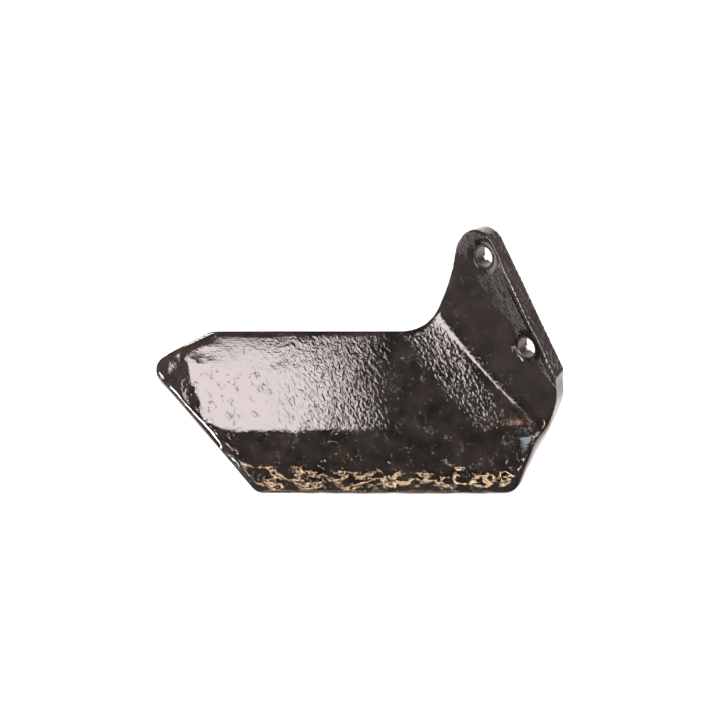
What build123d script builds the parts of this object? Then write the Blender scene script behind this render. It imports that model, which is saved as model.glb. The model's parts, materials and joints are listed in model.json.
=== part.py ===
from build123d import *
import math
import os

# Bolt-on wing blade for a ground-engaging tool: one hot-formed steel plate whose rear end is bent up
# into a mounting ear, with a split spring-steel bush pressed into each of the ear's two bolt holes.
# The blade lies on its back: its underside is the plane Z = 0, its face looks up, its cutting tip
# points to -X and its ground edge lies along -Y. Millimetres.

# Plate and blade
plate_t = 12.0  # thickness of blade and ear
blade_h = 106.0  # ground edge to top edge, along Y
ground_edge = 162.5  # length of the straight ground edge, sharp corner to sharp corner
top_lead = 31.9  # the top edge starts this far ahead of the ground edge's front corner, towards the tip
tip_reach = 40.0  # tip corner ahead of the top edge's front corner, along X
tip_drop = 22.4  # tip corner below the top edge, along Y
heel_run = 23.3  # heel past the ground edge's rear corner, along X
heel_rise = 46.9  # heel above the ground edge, along Y
tip_r = 10.0
top_front_r = 8.0
ground_front_r = 10.0
ground_rear_r = 10.0
flank_r = 24.0  # concave round where the top edge turns up the ear's flank

# Bevels on the blade's face
ground_bevel_w = 37.6  # width of the ground bevel, along Y
ground_lip_t = 4.5  # plate left at the ground edge
tip_bevel_w = 30.0  # tip bevel, from the tip corner back along X
tip_lip_t = 7.0  # plate left at the tip corner
tip_bevel_lean = 17.0  # degrees that the tip bevel's break line leans from square to the ground edge
arris_w = 2.4  # narrow 45 degree band along the free edges of the face

# Bend and ear; along = up the fold line, rise = up the ear's face from the fold
fold_angle = 125.0  # degrees from +X, in plan
bend_angle = 54.9  # degrees between the blade's face and the ear's face
bend_r = 24.0  # inside radius of the bend
ear_corner_rise = 25.1  # lower outer corner of the ear, above the fold
ear_top_outer = (121.5, 55.5)
ear_foot = 108.8  # along the fold, from the heel to where the flank crosses it
flank_lean = 0.55  # the flank gains this much along the fold for each unit across it
ear_flank_rise = 30.0  # the straight flank ends this high on the ear
ear_top_r = 15.0
ear_flank_r = 20.0
lower_hole = (42.8, 20.0)
hole_spacing = 64.0
hole_line_angle = 16.0  # degrees from the fold, in the ear's plane

# Bolt holes and their bushes
bush_bore = 13.5  # passes an M12 bolt
bush_wall = 1.5
bush_slit = 3.0  # gap that lets the bush spring shut as it is pressed in
bush_slit_angle = -78.0  # degrees from the fold, in the ear's plane
bush_inset = 0.2  # each end of the bush stands this far inside the ear
bush_lead_in = 0.4  # 45 degree chamfer at both mouths of the bush
press_clearance = 0.02  # bush in its hole, per side
dish_d = 24.5  # shallow dish for the bolt head, around each hole
dish_depth = 1.2

REACH = 400.0  # larger than the part, for prisms and cutters

# Plan of the blade, from the ground edge's front corner
ground_front = Vector(0, 0)
ground_rear = Vector(ground_edge, 0)
heel = Vector(ground_edge + heel_run, heel_rise)
top_front = Vector(-top_lead, blade_h)
tip = Vector(-top_lead - tip_reach, blade_h - tip_drop)

# Directions of the bend: fold runs up the fold line, face_n is the ear's outward normal
fold = Vector(math.cos(math.radians(fold_angle)), math.sin(math.radians(fold_angle)), 0)
across = Vector(fold.Y, -fold.X, 0)
bend = math.radians(bend_angle)
rise = across * math.cos(bend) + Vector(0, 0, math.sin(bend))
face_n = across * -math.sin(bend) + Vector(0, 0, math.cos(bend))
fold_start = Vector(heel.X, heel.Y, plate_t)
foot = heel + fold * ear_foot
# the plate's edges run straight over the bend, so each crosses the fold at one angle on both sides
flank_dir = (fold * flank_lean + across).normalized()
top_rear = foot - flank_dir * ((foot.Y - blade_h) / flank_dir.Y)
heel_edge = heel - ground_rear
heel_lean = heel_edge.dot(fold) / heel_edge.dot(across)
ear_corner = (ear_corner_rise * heel_lean, ear_corner_rise)
ear_top_inner = (ear_foot + ear_flank_rise * flank_lean, ear_flank_rise)

ear_plane = Plane(origin=fold_start, x_dir=fold, z_dir=face_n)
# ear_plane's own Y points down the ear or up it; rise_sign keeps positions measured up the ear
rise_sign = 1 if ear_plane.y_dir.dot(rise) > 0 else -1


def on_ear(along, up, out=0.0):
    """A point on the ear: along the fold, up the face, and out from the face."""
    return fold_start + fold * along + rise * up + face_n * out


hole_turn = math.radians(hole_line_angle)
upper_hole = (
    lower_hole[0] + hole_spacing * math.cos(hole_turn),
    lower_hole[1] + hole_spacing * math.sin(hole_turn),
)
holes = {"lower": lower_hole, "upper": upper_hole}


def past(start, end, extra):
    """The point beyond end on the line from start."""
    return end + (end - start).normalized() * extra


def rounded(points, radii):
    """A closed face with the corners rounded; a radius of 0 keeps the corner sharp."""
    face = make_face(Polyline(*points, close=True))
    for point, radius in zip(points, radii):
        if radius:
            corner = face.vertices().sort_by_distance(point)[0]
            face = fillet(corner, radius)
    return face


def bent_plate():
    """The plate's section, blade, bend and ear, drawn out along the fold."""
    run = bend_r * math.tan(bend / 2)
    section = Plane(origin=(heel.X, heel.Y, 0), x_dir=across, z_dir=fold)
    flip = 1 if section.y_dir.Z > 0 else -1
    up = Vector(math.cos(bend), math.sin(bend))
    out = Vector(-math.sin(bend), math.cos(bend))
    crease = Vector(0, plate_t)
    centre = Vector(-run, plate_t + bend_r)
    half = bend / 2
    toward_mid = Vector(math.sin(half), -math.cos(half))

    def at(point):
        return Vector(point.X, point.Y * flip)

    face_start = Vector(-REACH, plate_t)
    face_end = crease + up * REACH
    bend_in = (Vector(-run, plate_t), centre + toward_mid * bend_r, crease + up * run)
    outer = bend_r + plate_t
    bend_out = (Vector(-run, 0), centre + toward_mid * outer, crease + up * run - out * plate_t)
    lines = [
        Line(at(face_start), at(bend_in[0])),
        ThreePointArc(*[at(p) for p in bend_in]),
        Line(at(bend_in[2]), at(face_end)),
        Line(at(face_end), at(face_end - out * plate_t)),
        Line(at(face_end - out * plate_t), at(bend_out[2])),
        ThreePointArc(*[at(p) for p in reversed(bend_out)]),
        Line(at(bend_out[0]), at(Vector(-REACH, 0))),
        Line(at(Vector(-REACH, 0)), at(face_start)),
    ]
    face = section * make_face(Curve() + lines)
    return extrude(face, REACH, dir=tuple(fold), both=True)


def blade_prism():
    """The blade's plan outline without flank and heel, drawn on past the fold, through the plate."""
    points = [
        tip,
        top_front,
        Vector(heel.X + plate_t * 4, blade_h),
        Vector(heel.X + plate_t * 4, 0),
        ground_front,
    ]
    radii = [tip_r, top_front_r, 0, 0, ground_front_r]
    return extrude(rounded(points, radii), REACH)


def ear_prism():
    """The ear's outer edge and round top, square to the ear; its other sides run on past the part."""
    spare = blade_h
    corner = Vector(*ear_corner)
    outer = Vector(*ear_top_outer)
    inner_past = past(outer, Vector(*ear_top_inner), plate_t)
    points = [
        past(outer, corner, spare),
        outer,
        inner_past,
        inner_past + Vector(spare, -spare / 2),
        Vector(-spare, -spare / 2),
    ]
    points = [Vector(p.X, p.Y * rise_sign) for p in points]
    return extrude(ear_plane * rounded(points, [0, ear_top_r, 0, 0, 0]), REACH, both=True)


def end_cut(along, lean, outward):
    """Cutter past one end of the bend. Its plane holds the edge's line on the blade and on the ear."""
    normal = (fold * lean + across).cross(fold * lean + rise).normalized()
    if normal.dot(fold) * outward < 0:
        normal = normal * -1
    plane = Plane(origin=on_ear(along, 0), x_dir=fold * lean + across, z_dir=normal)
    return plane * Box(4 * REACH, 4 * REACH, REACH, align=(Align.CENTER, Align.CENTER, Align.MIN))


def blade_side():
    """Everything on the blade's side of the plane that halves the bend."""
    half = bend / 2
    normal = across * -math.cos(half) + Vector(0, 0, -math.sin(half))
    block = Plane(origin=fold_start, x_dir=fold, z_dir=normal)
    return block * Box(4 * REACH, 4 * REACH, REACH, align=(Align.CENTER, Align.CENTER, Align.MIN))


def above(point, edge, tilt):
    """Cutter over a tilted plane through point along edge; tilt degrees fall to the edge's left."""
    left = Vector(-edge.Y, edge.X, 0).normalized()
    turn = math.radians(tilt)
    normal = left * math.sin(turn) + Vector(0, 0, math.cos(turn))
    plane = Plane(origin=point, x_dir=edge.normalized(), z_dir=normal)
    return plane * Box(REACH, REACH, REACH / 4, align=(Align.CENTER, Align.CENTER, Align.MIN))


def slope(drop, width):
    return math.degrees(math.atan2(drop, width))


def face_point(plan, depth=0.0):
    return Vector(plan.X, plan.Y, plate_t - depth)


def beveled(blade):
    """The blade with its ground bevel, tip bevel and the narrow arris along its free edges."""
    ground_break = face_point(Vector(0, ground_bevel_w))
    blade -= above(ground_break, Vector(-1, 0, 0), slope(plate_t - ground_lip_t, ground_bevel_w))
    lean = math.radians(90 + tip_bevel_lean)
    tip_break = face_point(tip + Vector(tip_bevel_w, 0))
    blade -= above(
        tip_break,
        Vector(math.cos(lean), math.sin(lean), 0),
        slope(plate_t - tip_lip_t, tip_bevel_w),
    )
    for start, end in ((top_front, tip), (tip, ground_front)):
        edge = (end - start).normalized()
        inward = Vector(-edge.Y, edge.X)
        blade -= above(face_point(start + inward * arris_w), edge * -1, 45)
    return blade


def bush_seat(along, up):
    """Through hole for the bush with the dish in front of it, as one cutter."""
    hole_r = bush_bore / 2 + bush_wall + press_clearance
    plane = Plane(origin=on_ear(along, up), x_dir=fold, z_dir=face_n)
    cutter = Cylinder(hole_r, plate_t * 3)
    cutter += Cylinder(dish_d / 2, plate_t, align=(Align.CENTER, Align.CENTER, Align.MIN))
    cutter += Cone(
        hole_r, dish_d / 2, dish_depth, align=(Align.CENTER, Align.CENTER, Align.MAX)
    )
    return plane * cutter


def round_edge(body, near, radius):
    """The body with its edge nearest to a point rounded."""
    return fillet(body.edges().sort_by_distance(near)[0], radius)


def wing_blade():
    plate = bent_plate() - end_cut(0, heel_lean, -1)
    side = blade_side()
    blade = plate & blade_prism() & side
    blade = round_edge(blade, Vector(ground_rear.X, ground_rear.Y, plate_t / 2), ground_rear_r)
    blade = beveled(blade)
    below_top = Pos(0, blade_h, 0) * Box(
        4 * REACH, REACH, REACH, align=(Align.CENTER, Align.MAX, Align.CENTER)
    )
    # the ear brings with it the neck of plate between the blade's top edge and the fold
    ear = (plate & ear_prism()) - end_cut(ear_foot, flank_lean, 1) - (side & below_top)
    body = blade + ear
    body = round_edge(body, Vector(top_rear.X, top_rear.Y, plate_t / 2), flank_r)
    body = round_edge(body, on_ear(*ear_top_inner, -plate_t / 2), ear_flank_r)
    for along, up in holes.values():
        body -= bush_seat(along, up)
    return body


def bush(hole):
    """Split bush: a rolled sleeve with one slit along it, chamfered inside at both ends."""
    length = plate_t - dish_depth - 2 * bush_inset
    inner_r = bush_bore / 2
    lead = bush_lead_in
    on_end = (Align.CENTER, Align.CENTER, Align.MIN)
    sleeve = Cylinder(inner_r + bush_wall, length, align=on_end)
    sleeve -= Cylinder(inner_r, length, align=on_end)
    sleeve -= Cone(inner_r + lead, inner_r, lead, align=on_end)
    sleeve -= Pos(0, 0, length - lead) * Cone(inner_r, inner_r + lead, lead, align=on_end)
    slit = Box(bush_bore, bush_slit, length, align=(Align.MIN, Align.CENTER, Align.MIN))
    sleeve -= Rot(0, 0, bush_slit_angle * rise_sign) * slit
    back_end = on_ear(*hole, bush_inset - plate_t)
    return Plane(origin=back_end, x_dir=fold, z_dir=face_n) * sleeve


def build():
    pieces = {"wing_blade": wing_blade()}
    for place, hole in holes.items():
        pieces[f"{place}_bush"] = bush(hole)
    # the origin is under the middle of the part's box, on the plane that it lies on
    box = Compound(children=[Part(p.wrapped) for p in pieces.values()]).bounding_box()
    shift = Pos(-box.center().X, -box.center().Y, -box.min.Z)
    return {name: shift * piece for name, piece in pieces.items()}


os.makedirs("parts", exist_ok=True)
for name, piece in build().items():
    piece.label = name
    export_step(piece, f"parts/{name}.step")
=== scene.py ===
"""A bolt-on wing blade for a ground-engaging tool, with the two bushes in its ear."""

import json
import math

import bpy
import numpy as np
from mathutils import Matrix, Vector, noise


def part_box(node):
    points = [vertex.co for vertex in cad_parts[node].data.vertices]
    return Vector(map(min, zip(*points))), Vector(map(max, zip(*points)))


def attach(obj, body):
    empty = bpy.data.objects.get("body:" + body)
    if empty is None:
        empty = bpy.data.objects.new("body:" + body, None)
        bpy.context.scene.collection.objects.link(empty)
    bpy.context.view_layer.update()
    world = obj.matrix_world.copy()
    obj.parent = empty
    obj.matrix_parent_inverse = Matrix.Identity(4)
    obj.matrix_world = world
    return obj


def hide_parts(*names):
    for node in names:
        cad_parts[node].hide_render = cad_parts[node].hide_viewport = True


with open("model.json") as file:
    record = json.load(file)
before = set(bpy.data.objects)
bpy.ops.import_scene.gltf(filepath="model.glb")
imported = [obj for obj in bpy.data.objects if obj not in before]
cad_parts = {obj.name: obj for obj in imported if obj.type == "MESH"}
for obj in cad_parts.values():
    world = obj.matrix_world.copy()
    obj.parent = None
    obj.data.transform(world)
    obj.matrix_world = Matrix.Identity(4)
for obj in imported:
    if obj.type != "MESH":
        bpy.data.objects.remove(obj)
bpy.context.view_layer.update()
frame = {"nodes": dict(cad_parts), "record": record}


# ---------------------------------------------------------------- camera
# A long lens on a copy stand, looking down on the blade as it lies on its back, 74 degrees above
# the bench, so the face, the ear's front and a sliver of the ground edge all show.
LENS = 100.0
SENSOR = 36.0
FRAME_WIDTH = 0.4608
CAMERA_ELEVATION = math.radians(74)
aim = Vector((0.0011, -0.0003, 0.020))
look_from = Vector((0, -math.cos(CAMERA_ELEVATION), math.sin(CAMERA_ELEVATION)))

camera_data = bpy.data.cameras.new("camera")
camera_data.lens = LENS
camera_data.sensor_width = SENSOR
camera_data.clip_start = 0.05
camera = bpy.data.objects.new("camera", camera_data)
camera.location = aim + look_from * (FRAME_WIDTH * LENS / SENSOR)
camera.rotation_euler = look_from.to_track_quat("Z", "Y").to_euler()
bpy.context.scene.collection.objects.link(camera)
bpy.context.scene.camera = camera
bpy.context.scene.view_settings.view_transform = "Standard"


# ---------------------------------------------------------------- bench and light
# A white paper sweep, burnt out to pure white by a wide fill lamp that the enamel doesn't mirror.
# The enamel mirrors a softbox, a warm strip in front, a panel on the right, two strips over the
# tip, two small lamps close over the heel, and two soft glows in a dim room.
def linear(code):
    """An sRGB hex code as linear red, green, blue and alpha."""
    parts = [int(code[i : i + 2], 16) / 255 for i in (1, 3, 5)]
    return [c / 12.92 if c <= 0.04045 else ((c + 0.055) / 1.055) ** 2.4 for c in parts] + [1.0]


def add(tree, kind, links=None, **settings):
    """A shader node with its settings; links maps its inputs to other nodes' outputs."""
    node = tree.nodes.new(kind)
    for key, value in settings.items():
        if hasattr(node, key):
            setattr(node, key, value)
        else:
            node.inputs[key.replace("_", " ")].default_value = value
    for name, output in (links or {}).items():
        tree.links.new(output, node.inputs[name])
    return node


def new_material(name):
    """An empty material and its node tree."""
    material = bpy.data.materials.new(name)
    material.use_nodes = True
    material.node_tree.nodes.clear()
    return material, material.node_tree


# matt white paper, which takes the blade's soft shadow and gives no highlight
sweep, tree = new_material("white_paper_sweep")
paper = add(tree, "ShaderNodeBsdfPrincipled", Base_Color=linear("#f4f3f2"), Roughness=0.9)
add(tree, "ShaderNodeOutputMaterial", {"Surface": paper.outputs[0]})

BENCH_HALF = 3.0
corners = [(x * BENCH_HALF, y * BENCH_HALF, 0) for x, y in ((-1, -1), (1, -1), (1, 1), (-1, 1))]
bench_mesh = bpy.data.meshes.new("bench")
bench_mesh.from_pydata(corners, [], [(0, 1, 2, 3)])
bench = bpy.data.objects.new("bench", bench_mesh)
bench_mesh.materials.append(sweep)
bpy.context.scene.collection.objects.link(bench)

# the room's glows: which way each lies, how far it spreads (in cosine) and its full strength;
# away from both, each still gives ROOM_DIM
ROOM_DIM = 0.19
ROOM_GLOWS = (((-0.81, -0.30, 0.50), 0.30, 0.75), ((0.89, 0.41, 0.19), 0.25, 0.9))
world = bpy.data.worlds.new("room")
world.use_nodes = True
tree = world.node_tree
tree.nodes["Background"].inputs["Color"].default_value = linear("#d8cccb")
sky = add(tree, "ShaderNodeTexCoord").outputs["Generated"]
glows = []
for direction, spread, full_strength in ROOM_GLOWS:
    toward_glow = add(tree, "ShaderNodeVectorMath", {0: sky}, operation="DOT_PRODUCT")
    toward_glow.inputs[1].default_value = direction
    glow = add(
        tree,
        "ShaderNodeMapRange",
        {"Value": toward_glow.outputs["Value"]},
        interpolation_type="SMOOTHERSTEP",
        From_Min=1.0 - spread,
        From_Max=1.0,
        To_Min=ROOM_DIM,
        To_Max=full_strength,
    )
    glows.append(glow.outputs[0])
both_glows = add(tree, "ShaderNodeMath", {0: glows[0], 1: glows[1]}, operation="ADD")
tree.links.new(both_glows.outputs[0], tree.nodes["Background"].inputs["Strength"])
bpy.context.scene.world = world


def lamp(name, place, toward, size, colour, power):
    """A flat rectangular lamp at a place, turned to face a point."""
    data = bpy.data.lights.new(name, "AREA")
    data.shape = "RECTANGLE"
    data.size, data.size_y = size
    data.color = linear(colour)[:3]
    data.energy = power
    obj = bpy.data.objects.new(name, data)
    obj.location = place
    obj.rotation_euler = (Vector(place) - Vector(toward)).to_track_quat("Z", "Y").to_euler()
    bpy.context.scene.collection.objects.link(obj)
    return obj


lamp("softbox", (-0.25, 0.187, 1.0), (-0.25, 0.187, 0), (0.46, 0.247), "#fff7f7", 5.9)
lamp("warm_strip", (-0.05, -0.36, 1.0), (-0.05, -0.07, 0), (0.6, 0.010), "#ffe0ba", 1.8)
lamp("edge_lamp", (0.67, 0.19, 1.0), (0.10, 0.04, 0.03), (0.90, 0.35), "#fff8f4", 20.0)

# narrow strips close over the tip; their power is in watts for each square metre of lamp
STRIP_WIDTH = 0.006
STRIP_POWER = 50
STRIP_BEAM = math.radians(30)
for name, place, toward, length in (
    ("tip_strip", (-0.182, -0.0685, 0.130), (-0.10, -0.04, 0.008), 0.20),
    ("back_strip", (-0.171, 0.163, 0.128), (-0.117, 0.010, 0.012), 0.06),
):
    power = STRIP_POWER * length * STRIP_WIDTH
    strip = lamp(name, place, toward, (length, STRIP_WIDTH), "#ffffff", power)
    strip.data.spread = STRIP_BEAM
    strip.visible_camera = False

# two small lamps close over the heel, each turned to a point on the face a little behind it
SPOT_REACH = 0.03
SPOT_AIM_Z = 0.013
for name, place, size, colour, power in (
    ("warm_spot", (0.099, -0.015, 0.165), (0.003, 0.006), "#ffd2b0", 0.0012),
    ("cool_spot", (0.114, -0.078, 0.161), (0.014, 0.010), "#dbe8ff", 0.0045),
):
    spot = lamp(name, place, (place[0], place[1] + SPOT_REACH, SPOT_AIM_Z), size, colour, power)
    spot.visible_camera = False

fill = lamp("fill", (0.0, 0.0, 2.0), (0, 0, 0), (5.0, 5.0), "#ffffff", 150)
fill.visible_glossy = False


# ---------------------------------------------------------------- wing blade
# One steel plate, cut, bevelled and bent hot, with the soft edges and shallow lumps that hot work
# leaves, and a coat of black gloss enamel. The plain plate is rebuilt here in small even quads.
MM = 0.001
QUAD = 0.87 * MM
PLATE = 12 * MM

# the bend's own directions: along the fold, across it, up the ear and out of the ear's face
FOLD = Vector((-0.5736, 0.8192, 0))
ACROSS = Vector((0.8192, 0.5736, 0))
BEND = math.radians(54.9)
RISE = ACROSS * math.cos(BEND) + Vector((0, 0, math.sin(BEND)))
EAR_OUT = ACROSS * -math.sin(BEND) + Vector((0, 0, math.cos(BEND)))

# holes are placed from the heel, along the fold and up the ear; the lower bore's mount lies
# MID_WALL under the ear's face
HOLES = {"lower": (0.0428, 0.0200), "upper": (0.1043, 0.0376)}
MID_WALL = 6.6 * MM
seat_mount = next(m for m in frame["record"]["mounts"] if m["name"] == "lower_bore")
HEEL = (
    Vector(seat_mount["pos_m"])
    + EAR_OUT * MID_WALL
    - FOLD * HOLES["lower"][0]
    - RISE * HOLES["lower"][1]
)

# where the face turns down into the ground bevel, and into the tip bevel
blade_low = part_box("wing_blade")[0]
GROUND_BREAK = blade_low[1] + 37.6 * MM
TIP_BREAK = Vector((blade_low[0] + 29.4 * MM, 0.0))
TIP_BREAK_SQUARE = Vector((0.956, 0.292))

# the bend's inside radius on the plain plate, then as a cone that changes along the fold
BEND_R = 24 * MM
CONE_R = 23 * MM
CONE_R_AT = 18 * MM
CONE_R_GAIN = 0.31
CONE_R_LEAST = 14 * MM
HEEL_BACK_R = 10 * MM
HEEL_BULGE = 3.8 * MM
HEEL_OUT = (0.68, -0.73, 0.0)

# the ear's outer edge runs straight between two corners, with a low rim along it
EAR_CORNER = (0.0137, 0.0251)
EAR_TOP = (0.1215, 0.0555)
RIM_W = 2.8 * MM
RIM_H = 0.9 * MM
POCKET_DEPTH = 1.6 * MM
BEVEL_DROP = 0.7 * MM

# rounds of softening: for every edge, then for the bevels' breaks and the bend
EDGE_ROUNDS = 16
BREAK_ROUNDS = 90


def points_of(mesh):
    """The mesh's points, one to a row."""
    flat = np.empty(len(mesh.vertices) * 3, np.float32)
    mesh.vertices.foreach_get("co", flat)
    return flat.reshape(-1, 3).astype(float)


def normals_of(mesh):
    """The normals at the mesh's points, one to a row."""
    flat = np.empty(len(mesh.vertices) * 3, np.float32)
    mesh.vertex_normals.foreach_get("vector", flat)
    return flat.reshape(-1, 3).astype(float)


def set_points(mesh, points):
    """Moves the mesh's points to these places."""
    mesh.vertices.foreach_set("co", points.astype(np.float32).ravel())
    mesh.update()


def remeshed(name, source, size):
    """A new object: source's shape in even quads."""
    obj = bpy.data.objects.new(name, source.data.copy())
    bpy.context.scene.collection.objects.link(obj)
    remesh = obj.modifiers.new("even_quads", "REMESH")
    remesh.mode = "VOXEL"
    remesh.voxel_size = size
    evaluated = obj.evaluated_get(bpy.context.evaluated_depsgraph_get())
    mesh = bpy.data.meshes.new_from_object(evaluated)
    obj.modifiers.clear()
    obj.data = mesh
    return obj


def soften(mesh, points, weight, rounds):
    """The points drawn towards their neighbours, which rounds the edges; weight 0 holds a point."""
    flat = np.empty(len(mesh.edges) * 2, np.int32)
    mesh.edges.foreach_get("vertices", flat)
    one, other = flat.reshape(-1, 2).T
    count = np.bincount(flat, minlength=len(points))[:, None]
    for _ in range(rounds):
        total = np.stack(
            [
                np.bincount(one, points[other, axis], len(points))
                + np.bincount(other, points[one, axis], len(points))
                for axis in range(3)
            ],
            axis=1,
        )
        points = points + 0.5 * weight[:, None] * (total / count - points)
    return points


def ramp(value, low, high):
    """0 below low, 1 above high, and a smooth step between."""
    t = np.clip((value - low) / (high - low), 0, 1)
    return t * t * (3 - 2 * t)


def hump(distance, width):
    """1 at no distance, dying away to both sides over about the width."""
    return np.exp(-((distance / width) ** 2))


def lumps(points, size, seed):
    """Smooth noise from -1 to 1 at each point, with features of that size."""
    shift = Vector((seed * 17.3, seed * 5.1, seed * 9.7))
    return np.array([noise.noise(Vector(p) / size + shift) for p in points])


def away_from_holes(along, up, near, far):
    """0 inside the near radius round each hole's axis, 1 outside the far radius."""
    seat = np.ones(len(along))
    for along_hole, up_hole in HOLES.values():
        seat = np.minimum(seat, ramp(np.hypot(along - along_hole, up - up_hole), near, far))
    return seat


def measures(points):
    """Each point along the fold, across it, and up the ear's face."""
    from_heel = points - np.array(HEEL)
    return from_heel @ np.array(FOLD), from_heel @ np.array(ACROSS), from_heel @ np.array(RISE)


def inside_edge(along, up):
    """How far each point of the ear is inside its straight outer edge."""
    way = np.array(EAR_TOP) - np.array(EAR_CORNER)
    way = way / np.linalg.norm(way)
    return (along - EAR_CORNER[0]) * way[1] - (up - EAR_CORNER[1]) * way[0]


forging = remeshed("wing_blade_forging", frame["nodes"]["wing_blade"], QUAD)
points = points_of(forging.data)
along, across, up_ear = measures(points)

# every sawn edge is eased, but less round the holes and least along the ear's outer edge
seat = away_from_holes(along, up_ear, 13 * MM, 17 * MM)
wide_seat = away_from_holes(along, up_ear, 13 * MM, 27 * MM)
in_bend = (1 - ramp(up_ear, 13 * MM, 16 * MM)) * away_from_holes(along, up_ear, 8.6 * MM, 9.6 * MM)
crisp = ramp(across, 8 * MM, 14 * MM) * (1 - ramp(inside_edge(along, up_ear), 18 * MM, 26 * MM))
eased = np.minimum(0.15 + 0.85 * np.maximum(seat, in_bend), 1 - 0.88 * crisp)
points = soften(forging.data, points, eased, EDGE_ROUNDS)
set_points(forging.data, points)

# hot work leaves the bevels' breaks and the inside of the bend softer than the sawn edges
face_side = (Vector((0, 0, 1)) + EAR_OUT).normalized()
facing = normals_of(forging.data) @ np.array(face_side)
x, y = points[:, 0], points[:, 1]
off_tip_break = (x - TIP_BREAK.x) * TIP_BREAK_SQUARE.x + (y - TIP_BREAK.y) * TIP_BREAK_SQUARE.y
soft = hump(off_tip_break, 7 * MM)
soft += 0.5 * hump(y - GROUND_BREAK, 4 * MM) * ramp(-across, 0, 20 * MM)
low_on_ear = ramp(up_ear, 4 * MM, 9 * MM) * (1 - ramp(up_ear, 24 * MM, 32 * MM))
soft += low_on_ear * np.maximum(wide_seat, in_bend)
points = soften(forging.data, points, np.minimum(soft, 1) * ramp(facing, 0.78, 0.86), BREAK_ROUNDS)
set_points(forging.data, points)
normals = normals_of(forging.data)
along, across, up_ear = measures(points)


def bend_height(across, radius):
    """How far a bend of that inside radius stands over the sharp crease."""
    half = math.tan(BEND / 2) * radius
    inner = np.clip(across, -half, half * math.cos(BEND))
    arc = radius - np.sqrt(np.maximum(radius**2 - (inner + half) ** 2, 0))
    return arc - np.maximum(inner, 0) * math.tan(BEND)


# the bend is tight at the heel and opens towards the ear's top, as a cone, so the face moves by
# the cone's height less the plain bend's
cone = np.maximum(CONE_R + CONE_R_GAIN * (along - CONE_R_AT), CONE_R_LEAST)
front = ramp(normals @ np.array(face_side), 0.35, 0.75)
height = bend_height(across, cone) - bend_height(across, BEND_R)

# the blade leads up into the bend over a long, slight slope
lead = np.linspace(-60 * MM, 60 * MM, 400)
slope = 0.055 * ramp(lead, -46 * MM, -22 * MM) + 0.05 * ramp(lead, -22 * MM, -8 * MM)
slope *= 1 - ramp(lead, 0, 12 * MM)
lead_height = np.cumsum(slope) * (lead[1] - lead[0])
height += np.interp(across, lead, lead_height) * (1 - ramp(up_ear, 4 * MM, 26 * MM))
move = (height * front)[:, None] * np.array([0.0, 0.0, 1.0])

# at the heel the bend's back is almost sharp
back_across = across - PLATE * math.tan(BEND / 2)
tight = bend_height(back_across, BEND_R + PLATE) - bend_height(back_across, HEEL_BACK_R)
back = ramp(normals @ -np.array(face_side), -0.15, 0.5)
move[:, 2] -= tight * back * (1 - ramp(along, 12 * MM, 55 * MM))

# and the end wall bulges where the metal was squeezed, up to the ear's lower corner
up_end = np.where(across > 0, up_ear, across)
from_end = along - EAR_CORNER[0] / EAR_CORNER[1] * up_end
bulge = HEEL_BULGE * ramp(up_end, -18 * MM, 0) * (1 - ramp(from_end, 1 * MM, 18 * MM))
bulge *= (1 - ramp(up_end, 13 * MM, 25 * MM)) * (0.55 + 0.45 * ramp(points[:, 2], 0, PLATE))
move += bulge[:, None] * np.array(HEEL_OUT)

# a rim stands a little over the ear's face along its outer edge, with a pocket at the corner
on_face = ramp(normals @ np.array(EAR_OUT), 0.6, 0.9) * ramp(across, 6 * MM, 12 * MM)
rim = 1 - ramp(inside_edge(along, up_ear), RIM_W - 0.5 * MM, RIM_W + 0.5 * MM)
pocket = hump(along - 15 * MM, 9 * MM) * hump(up_ear - 15 * MM, 6 * MM)
sunk = (RIM_H * rim - POCKET_DEPTH * pocket) * on_face * seat
move += sunk[:, None] * np.array(EAR_OUT)

# the ground bevel falls away towards its edge
to_edge = 1 - ramp(points[:, 1] - blade_low[1], -2 * MM, 18 * MM)
up_side = ramp(normals[:, 2], 0.5, 0.8)
move[:, 2] -= BEVEL_DROP * to_edge**2 * up_side * ramp(points[:, 2], 3 * MM, 5 * MM)

# where each point is, from 0 off a part of the blade to 1 on it
x = points[:, 0]
up_blade = points[:, 1] - GROUND_BREAK
face = ramp(up_blade, -4 * MM, 2 * MM)
on_bevel = 1 - face
low_bevel = 1 - ramp(up_blade, -26 * MM, -10 * MM)
tip_side = 1 - ramp(x, -112 * MM, -84 * MM)
on_ear = ramp(across, 2 * MM, 16 * MM)
near_break = hump(up_blade, 5 * MM)

# lumps from hot work, in mm: shallow on the face, where they grow away from the tip, and deeper on
# the tip, the bevel and the ear
rough = 0.25 + 0.75 * ramp(x, -50 * MM, 10 * MM)
large = 0.09 + 0.40 * on_ear
medium = 0.020 * rough * face + 0.32 * tip_side * face + 0.12 * on_bevel + 0.28 * low_bevel
medium += 0.15 * on_ear + 0.05 * near_break
small = 0.010 * rough * face + 0.04 * tip_side + 0.03 * on_bevel + 0.08 * low_bevel
lumpy = large * lumps(points, 26 * MM, 1) + medium * lumps(points, 9 * MM, 2)
lumpy += small * lumps(points, 4 * MM, 3)
move += (lumpy * MM * seat)[:, None] * normals

# the blade lies on its back, so nothing goes below the bench
points = points + move
points[:, 2] = np.maximum(points[:, 2], 0)
set_points(forging.data, points)
forging.data.shade_smooth()

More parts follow.
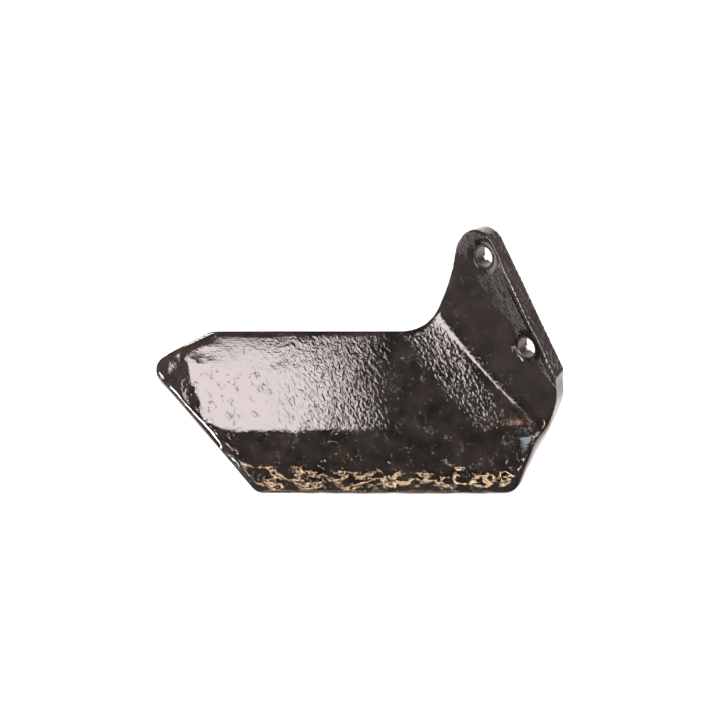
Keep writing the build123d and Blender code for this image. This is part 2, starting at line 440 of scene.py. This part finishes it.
# how strongly the skin is rippled: weakly towards the tip and weakest on the face at the heel's
# end, most in the band beside the bend and on the ear
ripple_map = 0.22 + 0.78 * ramp(x, -75 * MM, -35 * MM)
ripple_map *= 1 - 0.6 * ramp(x, 5 * MM, 30 * MM)
beside_bend = ramp(across, -46 * MM, -38 * MM) * (1 - ramp(across, -22 * MM, -16 * MM))
ripple_map += 1.8 * beside_bend * face + 1.8 * ramp(across, -16 * MM, -9 * MM) * (1 - on_ear)
ripple_map *= 1 - 0.8 * ramp(x, 84 * MM, 98 * MM)
ripple_map += 0.15 * on_bevel + 0.3 * tip_side + 1.5 * on_ear
rippled = forging.data.attributes.new("ripple_strength", "FLOAT", "POINT")
rippled.data.foreach_set("value", ripple_map.astype(np.float32))

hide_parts("wing_blade")
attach(forging, "root")


def per_mm(size):
    """A texture's scale for features of a size in millimetres."""
    return 1 / (size * MM)


# Gloss enamel on forged steel: a black skin, slightly brown, that mirrors the lamps sharply. The
# ripple under it, short cracks and fine scratches break the mirror up, and its colour and gloss
# drift from patch to patch.
enamel, tree = new_material("gloss_enamel_on_forged_steel")
where = add(tree, "ShaderNodeTexCoord").outputs["Object"]
strength = add(tree, "ShaderNodeAttribute", attribute_name="ripple_strength")

# the forging's ripple, about 2 mm across and drawn out along the fold
leaning = add(tree, "ShaderNodeMapping", {"Vector": where}, vector_type="TEXTURE")
leaning.inputs["Rotation"].default_value = (0, 0, math.radians(32))
leaning.inputs["Scale"].default_value = (1.0, 1.7, 1.0)
ripple = add(
    tree,
    "ShaderNodeTexNoise",
    {"Vector": leaning.outputs[0]},
    Scale=per_mm(2.2),
    Detail=1.5,
    Roughness=0.5,
    Distortion=0.7,
)
ripple_height = add(
    tree,
    "ShaderNodeMath",
    {0: ripple.outputs["Fac"], 1: strength.outputs["Fac"]},
    operation="MULTIPLY",
)

# the enamel's own orange peel, about 1 mm across, and scratches that run along the face, drawn
# wider than real ones so that they show
peel = add(
    tree, "ShaderNodeTexNoise", {"Vector": where}, Scale=per_mm(1.1), Detail=1.0, Roughness=0.4
)
along_face = add(tree, "ShaderNodeMapping", {"Vector": where})
along_face.inputs["Scale"].default_value = (0.03, 1.0, 1.0)
scratch = add(
    tree,
    "ShaderNodeTexNoise",
    {"Vector": along_face.outputs[0]},
    Scale=per_mm(0.8),
    Detail=3.0,
    Roughness=0.6,
)
bump_ripple = add(
    tree, "ShaderNodeBump", {"Height": ripple_height.outputs[0]}, Strength=1.0, Distance=0.12 * MM
)
bump_peel = add(
    tree,
    "ShaderNodeBump",
    {"Height": peel.outputs["Fac"], "Normal": bump_ripple.outputs[0]},
    Strength=1.0,
    Distance=0.012 * MM,
)

# short cracks and pits: thin lines where one noise crosses its middle, broken up by another
vein = add(
    tree,
    "ShaderNodeTexNoise",
    {"Vector": leaning.outputs[0]},
    Scale=per_mm(8),
    Detail=3.0,
    Roughness=0.6,
)
middle = add(tree, "ShaderNodeMath", {0: vein.outputs["Fac"]}, operation="SUBTRACT")
middle.inputs[1].default_value = 0.5
off_middle = add(tree, "ShaderNodeMath", {0: middle.outputs[0]}, operation="ABSOLUTE")
line = add(
    tree,
    "ShaderNodeMapRange",
    {"Value": off_middle.outputs[0]},
    From_Min=0.0,
    From_Max=0.009,
    To_Min=1.0,
    To_Max=0.0,
)
patches = add(
    tree, "ShaderNodeTexNoise", {"Vector": where}, Scale=per_mm(9), Detail=2.0, Roughness=0.6
)
broken = add(
    tree, "ShaderNodeMapRange", {"Value": patches.outputs["Fac"]}, From_Min=0.52, From_Max=0.60
)
crack = add(
    tree, "ShaderNodeMath", {0: line.outputs[0], 1: broken.outputs[0]}, operation="MULTIPLY"
)
bump_crack = add(
    tree,
    "ShaderNodeBump",
    {"Height": crack.outputs[0], "Normal": bump_peel.outputs[0]},
    Strength=1.0,
    Distance=0.06 * MM,
    invert=True,
)
bump_scratch = add(
    tree,
    "ShaderNodeBump",
    {"Height": scratch.outputs["Fac"], "Normal": bump_crack.outputs[0]},
    Strength=1.0,
    Distance=0.012 * MM,
)

# colour and gloss drift over patches of about 14 mm
mottle = add(
    tree, "ShaderNodeTexNoise", {"Vector": where}, Scale=per_mm(14), Detail=4.0, Roughness=0.6
)
tint = add(tree, "ShaderNodeValToRGB", {"Fac": mottle.outputs["Fac"]})
tint.color_ramp.elements[0].position = 0.36
tint.color_ramp.elements[1].position = 0.66
tint.color_ramp.elements[0].color = linear("#090706")
tint.color_ramp.elements[1].color = linear("#1d1815")
dull = add(
    tree, "ShaderNodeMapRange", {"Value": mottle.outputs["Fac"]}, To_Min=0.03, To_Max=0.09
)

skin = add(
    tree,
    "ShaderNodeBsdfPrincipled",
    {
        "Base Color": tint.outputs[0],
        "Roughness": dull.outputs[0],
        "Normal": bump_scratch.outputs[0],
    },
    IOR=1.52,
    Specular_Tint=linear("#fffaf9"),
)
add(tree, "ShaderNodeOutputMaterial", {"Surface": skin.outputs[0]})
forging.data.materials.clear()
forging.data.materials.append(enamel)


# ---------------------------------------------------------------- bushes
# Two split bushes of spring steel, turned inside and pressed into the ear's holes. Their bores are
# bare metal and their front ends are enamelled like the ear.
PAINT_FROM = 0.45
PAINT_FULL = 0.6

# Oiled spring steel: a dark grey metal that smudges of oil dull, with fine rings from turning.
steel, tree = new_material("oiled_spring_steel")
where = add(tree, "ShaderNodeTexCoord").outputs["Object"]
smudge = add(
    tree, "ShaderNodeTexNoise", {"Vector": where}, Scale=per_mm(3.5), Detail=3.0, Roughness=0.6
)
shade = add(tree, "ShaderNodeValToRGB", {"Fac": smudge.outputs["Fac"]})
shade.color_ramp.elements[0].color = linear("#322e2c")
shade.color_ramp.elements[1].color = linear("#59534f")
gloss = add(
    tree, "ShaderNodeMapRange", {"Value": smudge.outputs["Fac"]}, To_Min=0.25, To_Max=0.45
)

# the tool's rings run round the bore, so the pattern changes only along the ear's normal; they are
# drawn at 0.4 mm, coarser than a fine cut leaves, so that they show
down_bore = add(tree, "ShaderNodeVectorMath", {0: where}, operation="DOT_PRODUCT")
down_bore.inputs[1].default_value = EAR_OUT
rings = add(
    tree,
    "ShaderNodeTexNoise",
    {"W": down_bore.outputs["Value"]},
    noise_dimensions="1D",
    Scale=per_mm(0.4),
    Detail=2.0,
)
turned = add(
    tree, "ShaderNodeBump", {"Height": rings.outputs["Fac"]}, Strength=1.0, Distance=0.004 * MM
)

# the front ends, which face the way the ear does, are enamelled; the rest is bare
faces = add(tree, "ShaderNodeNewGeometry")
toward_front = add(
    tree, "ShaderNodeVectorMath", {0: faces.outputs["Normal"]}, operation="DOT_PRODUCT"
)
toward_front.inputs[1].default_value = EAR_OUT
painted = add(
    tree,
    "ShaderNodeMapRange",
    {"Value": toward_front.outputs["Value"]},
    From_Min=PAINT_FROM,
    From_Max=PAINT_FULL,
)
bare = add(
    tree,
    "ShaderNodeMapRange",
    {"Value": toward_front.outputs["Value"]},
    From_Min=PAINT_FROM,
    From_Max=PAINT_FULL,
    To_Min=1.0,
    To_Max=0.0,
)

# a colour mix has its two colours on inputs 6 and 7 and its result on output 2
colour = add(tree, "ShaderNodeMix", {"Factor": painted.outputs[0]}, data_type="RGBA")
colour.inputs[7].default_value = linear("#0d0a08")
tree.links.new(shade.outputs[0], colour.inputs[6])

metal = add(
    tree,
    "ShaderNodeBsdfPrincipled",
    {
        "Base Color": colour.outputs[2],
        "Roughness": gloss.outputs[0],
        "Metallic": bare.outputs[0],
        "Normal": turned.outputs[0],
    },
)
add(tree, "ShaderNodeOutputMaterial", {"Surface": metal.outputs[0]})
for name in ("lower_bush", "upper_bush"):
    frame["nodes"][name].material_slots[0].material = steel
